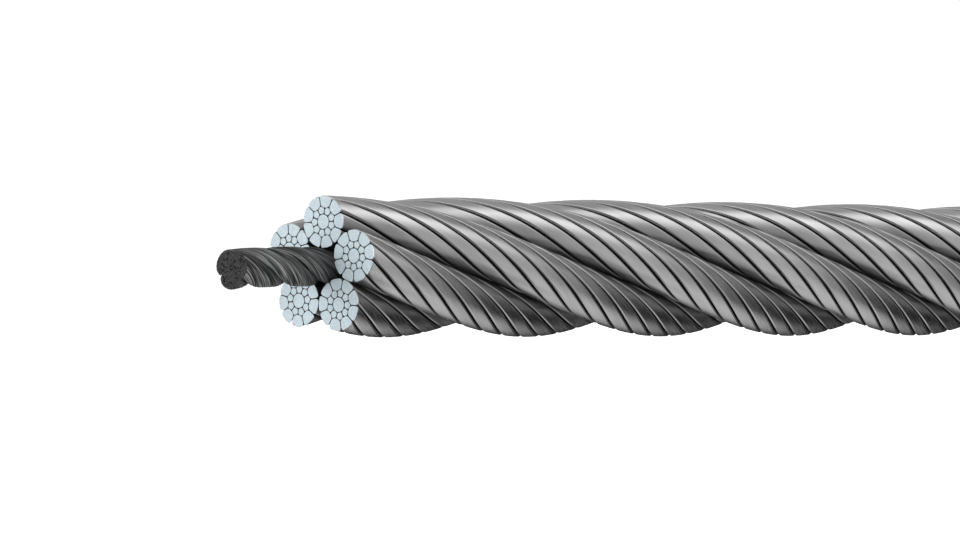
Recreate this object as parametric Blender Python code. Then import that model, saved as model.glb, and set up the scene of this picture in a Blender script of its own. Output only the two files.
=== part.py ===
"""One foot of five-strand wire rope with a fibre core, the strands cut back at one end to bare the core.

Metres, +Z up. The rope lies along X on the floor, with its bare core pointing to -X.
The origin is under the middle of the rope's whole length, on the floor.
Right-hand Lang lay: the strands turn round the rope, and the wires round their strand, the same way.
"""

import math

import bmesh
import bpy
from mathutils import Vector

# The rope
STOCK_LENGTH = 0.3048
BARE_CORE = 0.0152
ROPE_DIAMETER = 0.016
ROPE_LAY = 0.1256
STRANDS = 5
STRAND_GAP = 0.0002
FIRST_STRAND_ANGLE = math.radians(85.9)

# The wires of a strand: one centre wire, nine inner wires, and nine outer wires over the gaps between them
OUTER_WIRES = 9
STRAND_LAY = 0.0698
WIRE_START_ANGLE = math.radians(24.0)
GROOVE_DEPTH = 0.0003
INNER_BASE = 0.0016
INNER_TIP = 0.00182
CENTRE_WIRE = 0.00082
END_GAP = 0.00008
END_GAP_DEPTH = 0.0003

# The fibre core: three wedge-shaped strands, twisted where they are bare and straight where they are hidden
CORE_STRANDS = 3
CORE_LAY = 0.0182
CORE_CLEARANCE = 0.0001
CORE_STRAND_GAP = 0.00005
CORE_VALLEY_DEPTH = 0.00055
CORE_TWISTED_INSIDE = 0.006
CORE_SWELL = 0.00016
CORE_SWELL_LENGTH = 0.002
CORE_START_ANGLE = math.radians(269.0)

# How finely the surfaces are cut into faces
RINGS_PER_LAY = 35
CORE_RINGS_PER_LAY = 20

COLOURS = {
    "steel_wire": ((0.42, 0.41, 0.41), 0.32, 1.0),
    "core_fibre": ((0.035, 0.034, 0.033), 0.8, 0.0),
}

STRAND_RADIUS = (ROPE_DIAMETER / 2 * math.sin(math.pi / STRANDS) - STRAND_GAP / 2) / (
    1 + math.sin(math.pi / STRANDS)
)
STRAND_CENTRE = ROPE_DIAMETER / 2 - STRAND_RADIUS
HELD_CORE = STRAND_CENTRE - STRAND_RADIUS - CORE_CLEARANCE
CORE_END = -STOCK_LENGTH / 2
CUT_END = CORE_END + BARE_CORE
FAR_END = STOCK_LENGTH / 2


def clear_scene():
    for thing in list(bpy.data.objects):
        bpy.data.objects.remove(thing)


def material(name):
    colour, roughness, metallic = COLOURS[name]
    made = bpy.data.materials.get(name) or bpy.data.materials.new(name)
    made.use_nodes = True
    shader = made.node_tree.nodes["Principled BSDF"]
    shader.inputs["Base Color"].default_value = (*colour, 1)
    shader.inputs["Roughness"].default_value = roughness
    shader.inputs["Metallic"].default_value = metallic
    return made


def outward(angle):
    """The unit vector from the rope's axis at an angle, where 0 is towards -Y and a quarter turn is up."""
    return Vector((0, -math.cos(angle), math.sin(angle)))


def helix_angle(start, along, lay):
    """The angle of a right-hand helix after a distance along the rope."""
    return start - 2 * math.pi * along / lay


def strand_point(index, place, turn, away):
    """A point of a strand's section at one place along the rope.

    turn is its angle round the strand's centre, from straight outward and the way the wires turn,
    and away its distance from that centre."""
    start = FIRST_STRAND_ANGLE - 2 * math.pi * index / STRANDS
    angle = helix_angle(start, place - CUT_END, ROPE_LAY)
    return Vector((place, 0, 0)) + STRAND_CENTRE * outward(angle) + away * outward(angle - turn)


def groove_turn(place, half_steps):
    """The turn of the middle of an outer wire, or, after an odd number of half steps, of a groove."""
    turned = WIRE_START_ANGLE + 2 * math.pi * (place - CUT_END) / STRAND_LAY
    return turned + math.pi / OUTER_WIRES * (half_steps - 1)


def strand_ring(index, place):
    """One outline of the strand: the middle of each outer wire's face, and the groove after it."""
    depths = [0, GROOVE_DEPTH] * OUTER_WIRES
    return [
        strand_point(index, place, groove_turn(place, i), STRAND_RADIUS - depth)
        for i, depth in enumerate(depths)
    ]


def strand_places(low, high):
    """Where the strand's rings lie: at its ends, and evenly between, so that the rope rests on a facet."""
    step = 2 * math.pi / RINGS_PER_LAY
    down = -math.pi / 2
    first = (FIRST_STRAND_ANGLE - down - step / 2) % step / step
    spacing = ROPE_LAY / RINGS_PER_LAY
    count = math.ceil((high - low) / spacing)
    between = [CUT_END + spacing * (first + i) for i in range(count + 1)]
    return [low, *[x for x in between if low + spacing / 4 < x < high - spacing / 4], high]


def join_rings(mesh, rings):
    """Triangles between each ring of corners and the next, split from the corner that is farther out.

    Two neighbours with a common side are split alike there, so they keep their gap where they twist."""

    def out(corner):
        return corner.co.yz.length

    for near, far in zip(rings, rings[1:]):
        for i in range(len(near)):
            j = (i + 1) % len(near)
            if out(near[i]) > out(near[j]):
                mesh.faces.new((near[i], near[j], far[j]))
                mesh.faces.new((near[i], far[j], far[i]))
            else:
                mesh.faces.new((near[i], near[j], far[i]))
                mesh.faces.new((near[j], far[j], far[i]))


def wire_ends(mesh, ring, index, place):
    """The faces of nineteen wire ends that close the strand at one end."""

    def circle(first, away):
        steps = range(first, 2 * OUTER_WIRES, 2)
        return [mesh.verts.new(strand_point(index, place, groove_turn(place, i), away)) for i in steps]

    tips = circle(1, INNER_TIP)
    bases = circle(0, INNER_BASE)
    hubs = circle(0, CENTRE_WIRE)
    faces = [mesh.faces.new(hubs)]
    for j in range(OUTER_WIRES):
        after = (j + 1) % OUTER_WIRES
        outer = (ring[2 * j - 1], ring[2 * j], ring[2 * j + 1], tips[j], bases[j], tips[j - 1])
        inner = (bases[j], tips[j], bases[after], hubs[after], hubs[j])
        faces += [mesh.faces.new(outer), mesh.faces.new(inner)]
    return faces


def add_object(name, mesh, finish):
    bmesh.ops.recalc_face_normals(mesh, faces=mesh.faces)
    data = bpy.data.meshes.new(name)
    mesh.to_mesh(data)
    mesh.free()
    data.materials.append(material(finish))
    thing = bpy.data.objects.new(name, data)
    bpy.context.scene.collection.objects.link(thing)
    return thing


def strand(index):
    """A helical strand of nineteen wires, one solid with the gaps between its wires cut into its faces."""
    mesh = bmesh.new()
    low, high = CUT_END + END_GAP_DEPTH, FAR_END - END_GAP_DEPTH
    places = strand_places(low, high)
    rings = [[mesh.verts.new(point) for point in strand_ring(index, x)] for x in places]
    join_rings(mesh, rings)
    ends = wire_ends(mesh, rings[0], index, low) + wire_ends(mesh, rings[-1], index, high)
    bmesh.ops.recalc_face_normals(mesh, faces=mesh.faces)
    bmesh.ops.inset_individual(mesh, faces=ends, thickness=END_GAP / 2, depth=END_GAP_DEPTH)
    return add_object(f"strand_{index + 1}", mesh, "steel_wire")


def core_radius(place):
    """The radius that the core fills, a little more where it is bare than where the strands press on it."""
    bare = min(1.0, max(0.0, (CUT_END - place) / CORE_SWELL_LENGTH))
    return HELD_CORE + CORE_SWELL * bare


def core_ring(index, place):
    """One outline of a core strand: a wedge with a rounded back, its sides half a gap inside its third."""
    twisted = min(place, CUT_END + CORE_TWISTED_INSIDE) - CORE_END
    start = CORE_START_ANGLE - 2 * math.pi * index / CORE_STRANDS
    middle = helix_angle(start, twisted, CORE_LAY)
    radius = core_radius(place)
    half = math.pi / CORE_STRANDS
    half_gap = CORE_STRAND_GAP / 2

    def side(sign, reach):
        edge = middle + sign * half
        return reach * outward(edge) + half_gap * outward(edge - sign * math.pi / 2)

    def back(share):
        drop = CORE_VALLEY_DEPTH * share**4
        return (radius - drop) * outward(middle + share * half)

    points = [
        half_gap / math.sin(half) * outward(middle),
        side(-1, radius / 2),
        side(-1, radius - CORE_VALLEY_DEPTH),
        *[back(share) for share in (-0.85, -0.55, -0.2, 0.2, 0.55, 0.85)],
        side(1, radius - CORE_VALLEY_DEPTH),
        side(1, radius / 2),
    ]
    return [Vector((place, 0, 0)) + point for point in points]


def core_strand(index):
    """A strand of the fibre core, as long as the rope."""
    mesh = bmesh.new()
    spacing = CORE_LAY / CORE_RINGS_PER_LAY
    twisted = BARE_CORE + CORE_TWISTED_INSIDE
    count = round(twisted / spacing)
    places = [*[CORE_END + twisted * i / count for i in range(count + 1)], FAR_END]
    rings = [[mesh.verts.new(point) for point in core_ring(index, x)] for x in places]
    join_rings(mesh, rings)
    mesh.faces.new(rings[0])
    mesh.faces.new(rings[-1])
    return add_object(f"core_strand_{index + 1}", mesh, "core_fibre")


def lay_on_floor(things):
    lowest = min(vertex.co.z for thing in things for vertex in thing.data.vertices)
    for thing in things:
        thing.location.z = -lowest


def main():
    clear_scene()
    strands = [strand(index) for index in range(STRANDS)]
    core = [core_strand(index) for index in range(CORE_STRANDS)]
    lay_on_floor(strands + core)


main()
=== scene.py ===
"""The looks of a foot of wire rope: every wire of its five compacted strands, and its bared fibre core."""

import math
import random

import bpy
import numpy as np
from mathutils import Matrix, Vector


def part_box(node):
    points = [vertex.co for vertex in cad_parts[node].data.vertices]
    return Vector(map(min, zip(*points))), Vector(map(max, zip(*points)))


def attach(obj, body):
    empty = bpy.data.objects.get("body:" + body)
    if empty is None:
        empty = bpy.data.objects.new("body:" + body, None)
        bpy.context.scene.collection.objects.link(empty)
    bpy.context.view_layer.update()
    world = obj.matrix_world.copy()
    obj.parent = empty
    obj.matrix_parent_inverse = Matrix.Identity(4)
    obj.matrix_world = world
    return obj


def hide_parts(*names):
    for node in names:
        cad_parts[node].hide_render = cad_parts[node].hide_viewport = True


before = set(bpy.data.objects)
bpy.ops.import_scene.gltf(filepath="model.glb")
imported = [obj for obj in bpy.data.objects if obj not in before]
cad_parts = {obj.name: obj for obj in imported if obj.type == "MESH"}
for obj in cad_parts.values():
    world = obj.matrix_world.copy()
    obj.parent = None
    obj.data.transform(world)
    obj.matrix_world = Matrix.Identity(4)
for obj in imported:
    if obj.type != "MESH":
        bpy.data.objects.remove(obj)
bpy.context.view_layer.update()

MM = 0.001
STRANDS = 5
CORE_STRANDS = 3

# Where the rope lies, from the frame
CORE_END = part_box("core_strand_1")[0][0]
CUT_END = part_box("strand_1")[0][0]
FAR_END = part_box("strand_1")[1][0]
TOP = max(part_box(f"strand_{number}")[1][2] for number in range(1, STRANDS + 1))

# The rope
ROPE_RADIUS = 8.0 * MM
AXIS_HEIGHT = TOP - ROPE_RADIUS
ROPE_LAY = 125.6 * MM
STRAND_RADIUS = ROPE_RADIUS / (1 + 1 / math.sin(math.pi / STRANDS))
STRAND_CENTRE = ROPE_RADIUS - STRAND_RADIUS
FIRST_STRAND_ANGLE = math.radians(85.9)

# The wires of a strand: one centre wire, nine inner wires, and nine outer wires over the gaps between those.
# A ring of points is made at each step along a wire.
OUTER_WIRES = 9
STRAND_LAY = 69.8 * MM
WIRE_START_ANGLE = math.radians(24.0)
WIRE_PITCH = 2 * math.pi / OUTER_WIRES
WIRE_STEP = 1.25 * MM
INNER_STEP = 3 * WIRE_STEP

# The section of an outer wire, from its back inwards
WIRE_GAP = 0.12 * MM
OUTER_NOTCH = 0.1 * MM
OUTER_NOTCH_DEPTH = 0.44 * MM
OUTER_EDGE = 0.21 * MM
EDGE_STEPS = 4
CROWN_TURNS = (12, 6, 0, -6, -12)
OUTER_SHOULDER = 1.86 * MM
OUTER_SHOULDER_ROUND = 0.22 * MM
SHOULDER_STEPS = 2
OUTER_FOOT = 1.61 * MM
OUTER_FOOT_HALF = math.radians(10.0)
OUTER_FOOT_ROUND = 0.1 * MM
FOOT_STEPS = 1

# The sections of an inner wire and the centre wire
INNER_GAP = 0.09 * MM
INNER_PEAK = 1.77 * MM
INNER_SHOULDER = 1.50 * MM
INNER_ROUND = 0.18 * MM
INNER_FOOT = 0.95 * MM
INNER_FOOT_ROUND = 0.12 * MM
INNER_STEPS = 3
CENTRE_WIRE = 0.83 * MM
CENTRE_GAP = 0.04 * MM
CENTRE_SIDES = 24

# A wire's sawn end
END_CHAMFER = 0.05 * MM
END_BEVEL = 0.018 * MM
SAWN_GAP = 0.09 * MM
SAWN_NOTCH_DEPTH = 0.36 * MM
SAWN_EDGE = 0.3 * MM

# The fibre core: three strands of yarns, pressed to wedges
CORE_LAY = 18.2 * MM
CORE_START_ANGLE = math.radians(269.0)
CORE_HELD = 2.06 * MM
CORE_BARE = 2.26 * MM
CORE_SWELL_LENGTH = 2.0 * MM
CORE_END_SPREAD = 0.1 * MM
CORE_END_SPREAD_LENGTH = 1.6 * MM
CORE_DROOP = 0.33 * MM
CORE_VALLEY_DEPTH = 0.55 * MM
CORE_SIDE_GAP = 0.03 * MM
CORE_HEART = 0.25 * MM
CORE_BACK_SHARE = 0.86
CORE_BACK_POINTS = 9
YARN_WIDTH = 0.33 * MM
YARN_HEIGHT = 0.08 * MM
YARN_ROUNDNESS = 0.96
YARN_DRIFT = 0.10

# How finely the core is made where it shows, and where the wires hide it
CORE_DETAIL_INSIDE = 3.0 * MM
CORE_STEP = 0.2 * MM
CORE_POINTS = 140
HIDDEN_RINGS = 190
HIDDEN_POINTS = 20

# The core's cut fibres, each a short rod that stands in the core's end. They are 0.15 to 0.2 mm thick,
# and drawn at up to 0.3 mm to show. Sizes are shares of the radius, and heights are in millimetres.
CORE_RECESS = 0.14 * MM
FIBRE_RADIUS = 0.14 * MM
FIBRE_SIZES = (0.75, 1.1)
FIBRE_HEIGHTS = (-0.12, 0.04)
FIBRE_ROOT = 0.5 * MM
FIBRE_CHAMFER = 0.04 * MM
FIBRE_TIP = 0.6
FIBRE_SIDES = 6
FIBRE_STRAY = 0.2
FIBRE_EDGE = 1.4 * FIBRE_RADIUS
MISSING_FIBRES = 0.2
FIRST_SEED = 31

# Each wire has its own number, and strands take so many numbers each.
# The grain of one wire or core strand lies so far in the noise from that of the next.
NUMBERS_IN_STRAND = 20
WIRE_GRAIN_APART = 7.3
CORE_GRAIN_APART = 11.0

# The table, just under the wires' rounds, which reach a hair below the solids' facets
TABLE_HALF = 30.0
TABLE_DROP = 0.05 * MM

# The photograph's view: a long lens, just above the table, 40 degrees off the rope's axis
LENS = 308.3
SENSOR_WIDTH = 36
CAMERA_PLACE = (CUT_END - 0.6979, -0.6035, AXIS_HEIGHT - 0.00315)
CAMERA_DEGREES = (90.174, -0.144, -50.26)

# What the camera sees behind the rope
WHITE = (1.1, 1.1, 1.1, 1)

# Light on matt things: the panels' times this gain up to the first elevation, fading to none at the second
MATT_GAIN = 1.65
MATT_ELEVATIONS = (5, 38)

# What lights the studio: brightness by azimuth, from +X towards +Y, and by elevation, in degrees
PANELS = [
    # Grey walls, lighter towards the ceiling
    (
        [(-180, 1.15), (-80, 1.4), (-55, 1), (-30, 0.8), (60, 0.8), (100, 1), (180, 1.15)],
        [
            (-90, 0.1), (-60, 0.13), (-35, 0.1), (-22, 0.02), (-8, 0.01),
            (0, 0.06), (20, 0.28), (40, 0.42), (60, 0.64), (90, 0.95),
        ],
    ),
    # A tall softbox in front, brightest above the rope
    (
        [(-72, 0), (-66, 1), (-48, 1), (-18, 0)],
        [
            (-62, 0), (-50, 0.42), (-30, 0.58), (0, 0.6),
            (12, 0.85), (24, 1.15), (36, 1.3), (48, 0.85), (66, 0),
        ],
    ),
    # The pale table beyond the rope
    (
        [(-58, 0), (-20, 1), (180, 1)],
        [(-66, 0), (-60, 0.25), (-54, 0.8), (-46, 0.7), (-36, 0.48), (-30, 0.25), (-24, 0.05), (-18, 0)],
    ),
    # White backdrop
    (
        [(0, 0), (20, 0.12), (45, 0.25), (70, 0.4), (100, 0.9), (180, 1)],
        [(2, 0), (14, 0.8), (22, 1.0), (40, 0.9), (60, 0.2), (90, 0)],
    ),
    # A window behind the bared core
    (
        [(-180, 0.6), (-170, 0.5), (-160, 0), (100, 0), (125, 0.5), (180, 0.6)],
        [(-45, 0), (-28, 1), (28, 1), (45, 0)],
    ),
    # A pale wall to the left of the camera
    (
        [(-135, 0), (-100, 1), (-72, 1), (-45, 0)],
        [(-50, 0), (-32, 0.13), (-10, 0.15), (2, 0.08), (14, 0)],
    ),
    # A lamp behind the camera
    ([(-168, 0), (-154, 2.2), (-122, 2.2), (-110, 0)], [(-20, 0), (-10, 1), (25, 1), (40, 0)]),
]


def linear(hex_colour):
    """The linear colour of an sRGB hex value."""

    def channel(value):
        return value / 12.92 if value <= 0.04045 else ((value + 0.055) / 1.055) ** 2.4

    return (*[channel(int(hex_colour[i : i + 2], 16) / 255) for i in (1, 3, 5)], 1)


def fill(tree, node, inputs):
    """Gives a node's inputs, by name or in order, a value or another node's output."""
    if not isinstance(inputs, dict):
        inputs = dict(zip([i for i, socket in enumerate(node.inputs) if socket.enabled], inputs))
    for key, value in inputs.items():
        if isinstance(value, bpy.types.NodeSocket):
            tree.links.new(value, node.inputs[key])
        else:
            node.inputs[key].default_value = value


def add(tree, kind, inputs=(), out=None, **settings):
    """Adds a node with its settings and inputs, and gives back its first output, or the one named by out."""
    node = tree.nodes.new("ShaderNode" + kind)
    for name, value in settings.items():
        setattr(node, name, value)
    fill(tree, node, inputs)
    return next((socket for socket in node.outputs if socket.enabled and out in (None, socket.name)), None)


def stored(tree, name):
    """The three numbers that each point of a piece holds under a name."""
    vector = add(tree, "Attribute", out="Vector", attribute_name=name)
    return add(tree, "SeparateXYZ", (vector,)).node.outputs


def grain_noise(tree, across, along, detail=2.0):
    """Noise in lines that run along a wire or a fibre. across and along are cells in a millimetre."""
    grain = add(tree, "Attribute", out="Vector", attribute_name="grain")
    scaled = add(tree, "VectorMath", (grain, (across, along, 1)), operation="MULTIPLY")
    return add(tree, "TexNoise", {"Vector": scaled, "Scale": 1.0, "Detail": detail, "Roughness": 0.6})


def new_material(name):
    """A material with one Principled shader."""
    made = bpy.data.materials.new(name)
    made.use_nodes = True
    return made, made.node_tree, made.node_tree.nodes["Principled BSDF"]


def drawn_steel():
    """Bright high-carbon steel wire, drawn through dies and rolled flat as the strand was compacted.

    A satin metal: the dies leave fine lines along each wire, and wires differ a little in tone."""
    made, tree, shader = new_material("drawn_steel_wire")
    # Die lines are about 0.03 mm apart, and drawn at 0.08 mm to show.
    lines = grain_noise(tree, 12.0, 0.35, 3.0)
    # Tone drifts over 2 mm across a wire and 12 mm along it, and from wire to wire.
    drift = grain_noise(tree, 0.5, 0.08)
    tone = add(tree, "Math", (lines, drift), operation="ADD")
    share = add(tree, "MapRange", (tone, 0.7, 1.3, 0, 1))
    bright = add(tree, "Mix", (share, linear("#b2b2b2"), linear("#d0d0d0")), data_type="RGBA")
    # Grease and painted shade: the wires darken in the grooves between them, and in the valleys between the
    # strands.
    under_back, under_rope, _ = stored(tree, "depth")
    groove = add(tree, "MapRange", (under_back, 0.12, 0.24, 0, 1))
    valley = add(tree, "MapRange", (under_rope, 1.2, 2.8, 0, 0.6))
    grease_and_painted_shade = add(tree, "Math", (groove, valley), operation="MAXIMUM")
    # The grey it mixes towards stands for grease and for painted shade.
    colour = add(tree, "Mix", (grease_and_painted_shade, bright, linear("#585858")), data_type="RGBA")
    satin = add(tree, "MapRange", (lines, 0.3, 0.7, 0.2, 0.32))
    rough = add(tree, "Math", (grease_and_painted_shade, 0.3, satin), operation="MULTIPLY_ADD")
    bump = add(tree, "Bump", {"Height": lines, "Strength": 0.35, "Distance": 0.01 * MM})
    fill(tree, shader, {"Metallic": 1.0, "Base Color": colour, "Roughness": rough, "Normal": bump})
    return made


def sawn_steel():
    """The wires' ends, cut with an abrasive disc: a pale, flat, slightly blue face with fine scratches."""
    made, tree, shader = new_material("sawn_steel_end")
    # The disc's grit is about 0.1 mm, and drawn at 0.15 mm to show.
    place = add(tree, "TexCoord", out="Object")
    grit = add(tree, "TexNoise", {"Vector": place, "Scale": 1 / (0.15 * MM), "Detail": 3.0})
    share = add(tree, "MapRange", (grit, 0.3, 0.7, 0, 1))
    colour = add(tree, "Mix", (share, linear("#c8d9e2"), linear("#e8f4f9")), data_type="RGBA")
    rough = add(tree, "MapRange", (grit, 0.3, 0.7, 0.5, 0.65))
    bump = add(tree, "Bump", {"Height": grit, "Strength": 0.2, "Distance": 0.01 * MM})
    fill(tree, shader, {"Metallic": 0.55, "Base Color": colour, "Roughness": rough, "Normal": bump})
    return made


def laid_fibre():
    """Hard fibre, black with lubricant and laid in yarns: dull, with paler fibres that catch the light."""
    made, tree, shader = new_material("laid_core_fibre")
    # Fibres are 0.15 to 0.2 mm thick, which is six in a millimetre.
    fibres = grain_noise(tree, 6.0, 0.2)
    # Paler patches are about 1 mm across and 7 mm long.
    patches = grain_noise(tree, 1.2, 0.15)
    tone = add(tree, "Math", (patches, 0.5, fibres), operation="MULTIPLY_ADD")
    share = add(tree, "MapRange", (tone, 0.66, 0.92, 0, 1))
    pale = add(tree, "Mix", (share, linear("#1a1a1a"), linear("#b6b7b7")), data_type="RGBA")
    # Darker in the seams between the yarns.
    sunk, across, from_cut = stored(tree, "depth")
    seam = add(tree, "MapRange", (sunk, 0, 0.06, 0, 0.8))
    # Painted shade darkens one flank of each core strand.
    painted_shade_flank = add(tree, "MapRange", (across, -0.2, 0.6, 0, 0.65))
    # Lubricant is thickest where the strands grip the core and squeezed it out.
    squeezed = add(tree, "MapRange", (from_cut, 0.5, 5.5, 0.75, 0))
    seams_and_painted_shade = add(tree, "Math", (seam, painted_shade_flank), operation="MAXIMUM")
    grease_and_painted_shade = add(tree, "Math", (seams_and_painted_shade, squeezed), operation="MAXIMUM")
    # The near-black mix is lubricant near the cut, the darker seams, and the painted shade on one flank.
    colour = add(tree, "Mix", (grease_and_painted_shade, pale, linear("#141414")), data_type="RGBA")
    rough = add(tree, "MapRange", (fibres, 0.3, 0.7, 0.5, 0.7))
    bump = add(tree, "Bump", {"Height": fibres, "Strength": 0.9, "Distance": 0.08 * MM})
    finish = {"Specular IOR Level": 0.15, "Base Color": colour, "Roughness": rough, "Normal": bump}
    fill(tree, shader, finish)
    return made


def cut_fibre():
    """The core's cut fibre ends: dull near-black, with a grey fleck here and there."""
    made, tree, shader = new_material("cut_core_fibre")
    fibre = add(tree, "Attribute", out="Vector", attribute_name="grain")
    fleck = add(tree, "TexWhiteNoise", {"Vector": fibre}, noise_dimensions="3D")
    colour = add(tree, "Mix", (fleck, linear("#030303"), linear("#505050")), data_type="RGBA")
    fill(tree, shader, {"Base Color": colour, "Roughness": 0.8})
    return made


def opal_table():
    """Opal acrylic, lit through from below: an even white that shows almost no shadow."""
    made, tree, shader = new_material("opal_table")
    glow = {"Emission Color": (1, 1, 1, 1), "Emission Strength": 1.1}
    fill(tree, shader, {"Base Color": linear("#f2f2f2"), "Roughness": 0.9, **glow})
    return made


def around(angle, radius):
    """Offsets from the rope's axis in Y and Z. Angle 0 is towards -Y, and a quarter turn is up."""
    return -radius * np.cos(angle), radius * np.sin(angle)


def ray(turn, away, inset=0.0):
    """A point of a section, by its turn and its distance from the centre, moved by inset towards turn 0."""
    side = math.copysign(inset, turn)
    return (
        away * math.cos(turn) + side * math.sin(turn),
        away * math.sin(turn) - side * math.cos(turn),
    )


def rounded(corners):
    """An outline through corners given as (point, radius, steps), each rounded by an arc of so many steps."""
    outline = []
    for i, (corner, radius, steps) in enumerate(corners):
        here = Vector(corner)
        if steps == 0:
            outline.append(here)
            continue
        before = (Vector(corners[i - 1][0]) - here).normalized()
        after = (Vector(corners[(i + 1) % len(corners)][0]) - here).normalized()
        half = before.angle(after) / 2
        centre = here + (before + after).normalized() * radius / math.sin(half)
        first = here + before * radius / math.tan(half) - centre
        last = here + after * radius / math.tan(half) - centre
        swept = first.angle_signed(last)
        for step in range(steps + 1):
            turned = first.copy()
            turned.rotate(Matrix.Rotation(-swept * step / steps, 2))
            outline.append(centre + turned)
    return np.array(outline)


def outer_wire(gap, notch_depth, edge):
    """The section of an outer wire: its back rolled to the strand's round, its foot between inner wires."""
    half, inset = WIRE_PITCH / 2, gap / 2
    notch = STRAND_RADIUS - notch_depth
    return rounded(
        [
            (ray(half, notch, inset), 0, 0),
            (ray(half, STRAND_RADIUS, inset + OUTER_NOTCH), edge, EDGE_STEPS),
            *[(ray(math.radians(turn), STRAND_RADIUS), 0, 0) for turn in CROWN_TURNS],
            (ray(-half, STRAND_RADIUS, inset + OUTER_NOTCH), edge, EDGE_STEPS),
            (ray(-half, notch, inset), 0, 0),
            (ray(-half, OUTER_SHOULDER, inset), OUTER_SHOULDER_ROUND, SHOULDER_STEPS),
            (ray(-OUTER_FOOT_HALF, OUTER_FOOT), OUTER_FOOT_ROUND, FOOT_STEPS),
            (ray(OUTER_FOOT_HALF, OUTER_FOOT), OUTER_FOOT_ROUND, FOOT_STEPS),
            (ray(half, OUTER_SHOULDER, inset), OUTER_SHOULDER_ROUND, SHOULDER_STEPS),
        ]
    )


def inner_wire():
    """The section of an inner wire, pressed between its neighbours, with its peak between two outer wires."""
    half, inset = WIRE_PITCH / 2, INNER_GAP / 2
    return rounded(
        [
            (ray(half, INNER_SHOULDER, inset), INNER_ROUND, INNER_STEPS),
            (ray(0, INNER_PEAK), INNER_ROUND, INNER_STEPS),
            (ray(-half, INNER_SHOULDER, inset), INNER_ROUND, INNER_STEPS),
            (ray(-half, INNER_FOOT, inset), INNER_FOOT_ROUND, INNER_STEPS),
            (ray(0, CENTRE_WIRE + CENTRE_GAP), 0, 0),
            (ray(half, INNER_FOOT, inset), INNER_FOOT_ROUND, INNER_STEPS),
        ]
    )


def centre_wire():
    """The section of a strand's round centre wire."""
    turns = np.linspace(0, 2 * math.pi, CENTRE_SIDES, endpoint=False)
    return np.stack([CENTRE_WIRE * np.cos(turns), CENTRE_WIRE * np.sin(turns)], 1)


def girth(outline):
    """How far round the outline each of its points lies."""
    return np.concatenate([[0], np.cumsum(np.linalg.norm(np.diff(outline, axis=0), axis=1))])


def wire(index, outline, sawn, turned, step, number):
    """A wire of a strand as rings of points, with their grain coordinates and depths.

    At its two ends its outline turns into the sawn one, and the strand's edge is chamfered.
    The depths, in millimetres, are those under the strand's back and under the rope's round."""
    count = math.ceil((FAR_END - CUT_END) / step)
    between = np.linspace(CUT_END, FAR_END, count + 1)[1:-1]
    places = np.array([CUT_END, CUT_END + END_CHAMFER, *between, FAR_END - END_CHAMFER, FAR_END])
    section = np.repeat(outline[None], len(places), 0)
    section[[0, 1, -2, -1]] = sawn
    from_middle = sawn - sawn.mean(0)
    section[[0, -1]] -= from_middle * END_BEVEL / np.linalg.norm(from_middle, axis=1).mean()
    away = np.linalg.norm(section, axis=2)
    away[[0, -1]] = np.minimum(away[[0, -1]], STRAND_RADIUS - END_CHAMFER)
    turn = np.arctan2(section[..., 1], section[..., 0]) + turned
    along = (places - CUT_END)[:, None]
    strand_angle = FIRST_STRAND_ANGLE - 2 * math.pi * (index / STRANDS + along / ROPE_LAY)
    wire_angle = strand_angle - (WIRE_START_ANGLE + 2 * math.pi * along / STRAND_LAY) - turn
    y, z = around(strand_angle, STRAND_CENTRE)
    dy, dz = around(wire_angle, away)
    shape = dy.shape
    points = np.stack([np.broadcast_to(places[:, None], shape), y + dy, AXIS_HEIGHT + z + dz], 2)
    across = np.broadcast_to(girth(outline) / MM, shape)
    apart = np.full(shape, number * WIRE_GRAIN_APART)
    grain = np.stack([across, np.broadcast_to(along / MM, shape), apart], 2)
    under_rope = ROPE_RADIUS - np.hypot(y + dy, z + dz)
    depth = np.stack([STRAND_RADIUS - away, under_rope, np.zeros(shape)], 2) / MM
    return points, grain, depth


def piece(name, tubes, finishes, node, sharp=35):
    """One object of closed tubes, each given as rings of points, grain coordinates and depths.

    The first finish is for the tubes' sides, and the second for their ends. It takes a CAD node's place."""
    points, grains, depths, faces, finish_of_face = [], [], [], [], []
    start = 0
    for rings, grain, depth in tubes:
        count, corners = rings.shape[:2]
        index = start + np.arange(count * corners).reshape(count, corners)
        after = np.roll(index, -1, axis=1)
        sides = np.stack([index[:-1], index[1:], after[1:], after[:-1]], 2).reshape(-1, 4)
        faces += sides.tolist() + [index[0].tolist(), index[-1][::-1].tolist()]
        finish_of_face += [0] * len(sides) + [1, 1]
        points.append(rings.reshape(-1, 3))
        grains.append(grain.reshape(-1, 3))
        depths.append(depth.reshape(-1, 3))
        start += count * corners
    mesh = bpy.data.meshes.new(name)
    mesh.from_pydata(np.concatenate(points).tolist(), [], faces)
    mesh.polygons.foreach_set("material_index", finish_of_face)
    for kind, values in (("grain", grains), ("depth", depths)):
        layer = mesh.attributes.new(kind, "FLOAT_VECTOR", "POINT")
        layer.data.foreach_set("vector", np.concatenate(values).astype(np.float32).ravel())
    for finish in finishes:
        mesh.materials.append(finish)
    mesh.shade_smooth()
    mesh.set_sharp_from_angle(angle=math.radians(sharp))
    mesh.validate()
    made = bpy.data.objects.new(name, mesh)
    bpy.context.scene.collection.objects.link(made)
    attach(made, "root")
    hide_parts(node)


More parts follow.
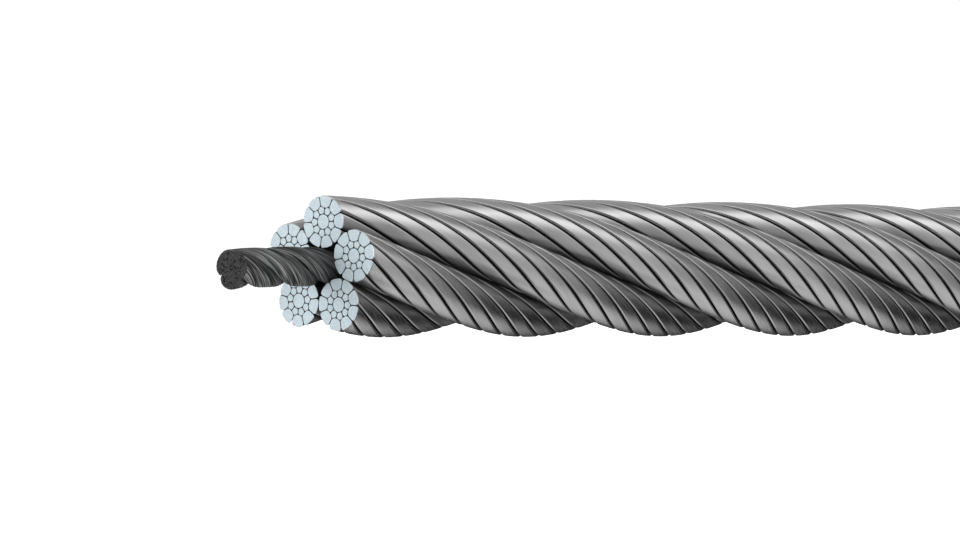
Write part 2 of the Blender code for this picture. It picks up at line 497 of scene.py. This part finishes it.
def strand(index, steel, sawn):
    """The nineteen wires of a strand, as three pieces: outer wires, inner wires and the centre wire."""
    outer = outer_wire(WIRE_GAP, OUTER_NOTCH_DEPTH, OUTER_EDGE)
    sawn_outer = outer_wire(SAWN_GAP, SAWN_NOTCH_DEPTH, SAWN_EDGE)
    inner, centre = inner_wire(), centre_wire()
    pitches = np.arange(OUTER_WIRES)
    # Each layer's name, its section along the wire and sawn, its wires' turns in pitches, and its step
    layers = [
        ("outer_wires", outer, sawn_outer, pitches + 0.5, WIRE_STEP),
        ("inner_wires", inner, inner, pitches, INNER_STEP),
        ("centre_wire", centre, centre, [0], INNER_STEP),
    ]
    number = NUMBERS_IN_STRAND * index
    for name, outline, sawn_outline, turns, step in layers:
        tubes = []
        for turn in turns:
            tubes.append(wire(index, outline, sawn_outline, WIRE_PITCH * turn, step, number))
            number += 1
        piece(f"{name}_{index + 1}", tubes, (steel, sawn), f"strand_{index + 1}")


def back_radius(radius, share):
    """How far out a core strand's back lies, at a share of the way from its middle to its valley."""
    return radius - CORE_VALLEY_DEPTH * abs(share) ** 4


def core_outline(radius, points):
    """Points evenly round a core strand's section, their outward directions, and how far round they lie."""
    half = math.pi / CORE_STRANDS
    valley = back_radius(radius, 1)
    shares = np.linspace(-CORE_BACK_SHARE, CORE_BACK_SHARE, CORE_BACK_POINTS)
    outline = np.array(
        [
            ray(-half, CORE_HEART, CORE_SIDE_GAP),
            ray(-half, valley, CORE_SIDE_GAP),
            *[ray(share * half, back_radius(radius, share)) for share in shares],
            ray(half, valley, CORE_SIDE_GAP),
            ray(half, CORE_HEART, CORE_SIDE_GAP),
        ]
    )
    closed = np.vstack([outline, outline[:1]])
    length = girth(closed)
    at = np.linspace(0, length[-1], points, endpoint=False)
    path = np.stack([np.interp(at, length, closed[:, i]) for i in (0, 1)], 1)
    ahead = np.roll(path, -2, axis=0) - np.roll(path, 2, axis=0)
    outward = np.stack([ahead[:, 1], -ahead[:, 0]], 1)
    return path, outward / np.linalg.norm(outward, axis=1, keepdims=True), at


def yarn_height(across):
    """The relief of yarns that lie side by side, from 0 in a seam to 1 on a yarn's back."""
    share = across / YARN_WIDTH % 1
    return np.sqrt(1 - (2 * share - 1) ** 2 * YARN_ROUNDNESS)


def core_radius(place):
    """The radius that the core fills: more where it is bare, and most at its end, where its fibres spread."""
    bare = min(1.0, max(0.0, (CUT_END - place) / CORE_SWELL_LENGTH))
    spread_out = max(0.0, 1 - (place - CORE_END) / CORE_END_SPREAD_LENGTH) ** 2
    return CORE_HELD + (CORE_BARE - CORE_HELD) * bare + CORE_END_SPREAD * spread_out


def core_angle(index, place):
    """The angle of the middle of a core strand's back at one place along the rope."""
    return CORE_START_ANGLE - 2 * math.pi * (index / CORE_STRANDS + (place - CORE_END) / CORE_LAY)


def droop(place):
    """How far the bare core hangs below the rope's axis."""
    return CORE_DROOP * (max(0.0, CUT_END - place) / (CUT_END - CORE_END)) ** 2


def core_tube(index, places, points, relief):
    """A stretch of a core strand, as rings of points, with their grain coordinates and depths.

    The depths are how far a point is sunk below its yarn's back, its share of the way across
    the strand's back, and how far from the cut it stands out, with lengths in millimetres."""
    rings, grains, depths = [], [], []
    for place in places:
        path, outward, at = core_outline(core_radius(place), points)
        drifted = at + YARN_DRIFT * (place - CORE_END)
        sunk = (1 - yarn_height(drifted)) * YARN_HEIGHT * relief
        path = path - outward * sunk[:, None]
        turn = np.arctan2(path[:, 1], path[:, 0])
        y, z = around(core_angle(index, place) + turn, np.linalg.norm(path, axis=1))
        rings.append(np.stack([np.full(points, place), y, AXIS_HEIGHT + z - droop(place)], 1))
        share = turn / (math.pi / CORE_STRANDS)
        depths.append(np.stack([sunk / MM, share, np.full(points, (CUT_END - place) / MM)], 1))
        apart = np.full(points, CORE_GRAIN_APART * index)
        grains.append(np.stack([drifted / MM, np.full(points, place / MM), apart], 1))
    return np.array(rings), np.array(grains), np.array(depths)


def fibre_rod(place, out, angle, reach, thick, height, turned):
    """A cut fibre, chamfered at its tip, as rings of points that follow each other towards +X."""
    y, z = around(angle, reach)
    turns = np.linspace(0, 2 * math.pi, FIBRE_SIDES, endpoint=False) + turned
    rings = []
    for depth, size in ((-FIBRE_ROOT, 1.0), (height - FIBRE_CHAMFER, 1.0), (height, FIBRE_TIP)):
        ring_y = y - out * thick * size * np.cos(turns)
        ring_z = AXIS_HEIGHT + z - droop(place) - thick * size * np.sin(turns)
        rings.append(np.stack([np.full(FIBRE_SIDES, place + out * depth), ring_y, ring_z], 1))
    return np.array(rings)[::out]


def fibre_ends(index, place, out, draw):
    """The cut fibres that close a core strand at one end, in rows round the core's axis.

    out is -1 where they face -X, and 1 where they face +X."""
    half = math.pi / CORE_STRANDS
    radius = core_radius(place)
    spacing = 2 * FIBRE_RADIUS
    tubes = []
    for row in range(int(radius / spacing) + 1):
        away = (row + 0.5) * spacing
        count = max(1, int(away * 2 * half / spacing))
        for i in range(count):
            share = (i + 0.5) / count * 2 - 1
            reach = away + draw.uniform(-FIBRE_STRAY, FIBRE_STRAY) * spacing
            if reach > back_radius(radius, share) - FIBRE_EDGE or draw.random() < MISSING_FIBRES:
                continue
            aside = draw.uniform(-FIBRE_STRAY, FIBRE_STRAY) * spacing / away
            angle = core_angle(index, place) + share * half + aside
            thick = FIBRE_RADIUS * draw.uniform(*FIBRE_SIZES)
            height = draw.uniform(*FIBRE_HEIGHTS) * MM
            rings = fibre_rod(place, out, angle, reach, thick, height, draw.uniform(0, 1))
            grain = np.full(rings.shape, draw.uniform(0, 100))
            tubes.append((rings, grain, np.zeros(rings.shape)))
    return tubes


def core_strand(index, fibre, cut):
    """A strand of the fibre core: yarns where it shows, plain where it is hidden, cut fibres at its ends."""
    draw = random.Random(FIRST_SEED + index)
    detailed = np.arange(CORE_END + CORE_RECESS, CUT_END + CORE_DETAIL_INSIDE, CORE_STEP)
    hidden = np.linspace(detailed[-1], FAR_END - CORE_RECESS, HIDDEN_RINGS)
    tubes = [core_tube(index, detailed, CORE_POINTS, 1.0), core_tube(index, hidden, HIDDEN_POINTS, 0.0)]
    ends = fibre_ends(index, CORE_END, -1, draw) + fibre_ends(index, FAR_END, 1, draw)
    number = index + 1
    piece(f"core_yarns_{number}", tubes, (fibre, cut), f"core_strand_{number}", sharp=60)
    piece(f"core_fibre_ends_{number}", ends, (cut, cut), f"core_strand_{number}", sharp=60)


def floor():
    """A wide white table, under the rope. The steel mirrors the panels instead of it."""
    mesh = bpy.data.meshes.new("floor")
    corners = [(x * TABLE_HALF, y * TABLE_HALF, 0) for x, y in ((-1, -1), (1, -1), (1, 1), (-1, 1))]
    mesh.from_pydata(corners, [], [(0, 1, 2, 3)])
    mesh.materials.append(opal_table())
    plane = bpy.data.objects.new("floor", mesh)
    bpy.context.scene.collection.objects.link(plane)
    plane.location.z = -TABLE_DROP
    plane.visible_glossy = False
    plane.visible_diffuse = False


def brightness(tree, angle, most, stops):
    """A panel's brightness by an angle that runs from -most to most, through (degrees, brightness) stops."""
    share = add(tree, "MapRange", (angle, -most, most, 0, 1))
    shade = add(tree, "ValToRGB", (share,))
    ramp = shade.node.color_ramp
    ramp.interpolation = "EASE"
    while len(ramp.elements) < len(stops):
        ramp.elements.new(0.5)
    for element, (degrees, grey) in zip(ramp.elements, stops):
        element.position = (math.radians(degrees) + most) / (2 * most)
        element.color = (grey, grey, grey, 1)
    return shade


def studio():
    """White to the eye, while the steel mirrors the panels."""
    world = bpy.data.worlds.new("studio")
    bpy.context.scene.world = world
    world.use_nodes = True
    tree = world.node_tree
    tree.nodes.clear()
    towards = add(tree, "TexCoord", out="Generated")
    x, y, z = add(tree, "SeparateXYZ", (towards,)).node.outputs
    azimuth = add(tree, "Math", (y, x), operation="ARCTAN2")
    elevation = add(tree, "Math", (z,), operation="ARCSINE")
    total = 0
    for azimuths, elevations in PANELS:
        across = brightness(tree, azimuth, math.pi, azimuths)
        up = brightness(tree, elevation, math.pi / 2, elevations)
        total = add(tree, "Math", (across, up, total), operation="MULTIPLY_ADD")
    # The ceiling's glow is there for the steel to mirror, and hardly lights what is matt.
    lowest, highest = [math.radians(angle) for angle in MATT_ELEVATIONS]
    low = add(tree, "MapRange", (elevation, lowest, highest, MATT_GAIN, 0))
    matt = add(tree, "Math", (total, low), operation="MULTIPLY")
    rays = add(tree, "LightPath").node.outputs
    lit = add(tree, "Mix", (rays["Is Diffuse Ray"], total, matt), data_type="RGBA")
    shown = add(tree, "Mix", (rays["Is Camera Ray"], lit, WHITE), data_type="RGBA")
    light = add(tree, "Background", {"Color": shown})
    add(tree, "OutputWorld", {"Surface": light})


def camera():
    """The photograph's view of the rope."""
    data = bpy.data.cameras.new("camera")
    data.lens = LENS
    data.sensor_width = SENSOR_WIDTH
    data.clip_start = 0.05
    data.clip_end = 200
    made = bpy.data.objects.new("camera", data)
    bpy.context.scene.collection.objects.link(made)
    made.location = CAMERA_PLACE
    made.rotation_euler = [math.radians(angle) for angle in CAMERA_DEGREES]
    bpy.context.scene.camera = made


def main():
    steel, sawn = drawn_steel(), sawn_steel()
    fibre, cut = laid_fibre(), cut_fibre()
    for index in range(STRANDS):
        strand(index, steel, sawn)
    for index in range(CORE_STRANDS):
        core_strand(index, fibre, cut)
    floor()
    studio()
    camera()
    bpy.context.scene.view_settings.view_transform = "Standard"


main()
